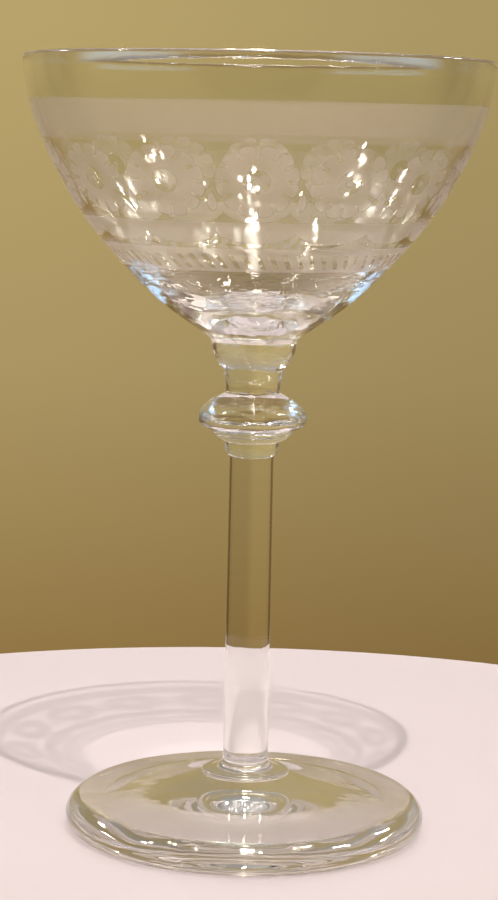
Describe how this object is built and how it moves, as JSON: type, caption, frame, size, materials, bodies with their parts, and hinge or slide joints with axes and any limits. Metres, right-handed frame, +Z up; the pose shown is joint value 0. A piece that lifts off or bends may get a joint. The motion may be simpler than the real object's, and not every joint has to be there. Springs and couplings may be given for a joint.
{
  "type": "sherbet glass",
  "caption": "Tall stemmed sherbet glass with a rounded saucer bowl, banded etched decoration, knopped stem and thick round foot.",
  "frame": {"origin": "centre of the foot's resting plane, on the turning axis", "axes": "+Z up along the turning axis towards the rim, X and Y free in the table plane"},
  "size_m": [0.091, 0.091, 0.152],
  "materials": {
    "clear_glass": "polished",
    "etched_glass": "polished with etched bands"
  },
  "bodies": {
    "root": {"bowl": "etched_glass", "bowl_button": "clear_glass", "neck": "clear_glass", "knop": "clear_glass", "knop_merese": "clear_glass", "stem_collar": "clear_glass", "stem": "clear_glass", "foot_boss": "clear_glass", "foot": "clear_glass"}
  },
  "joints": []
}
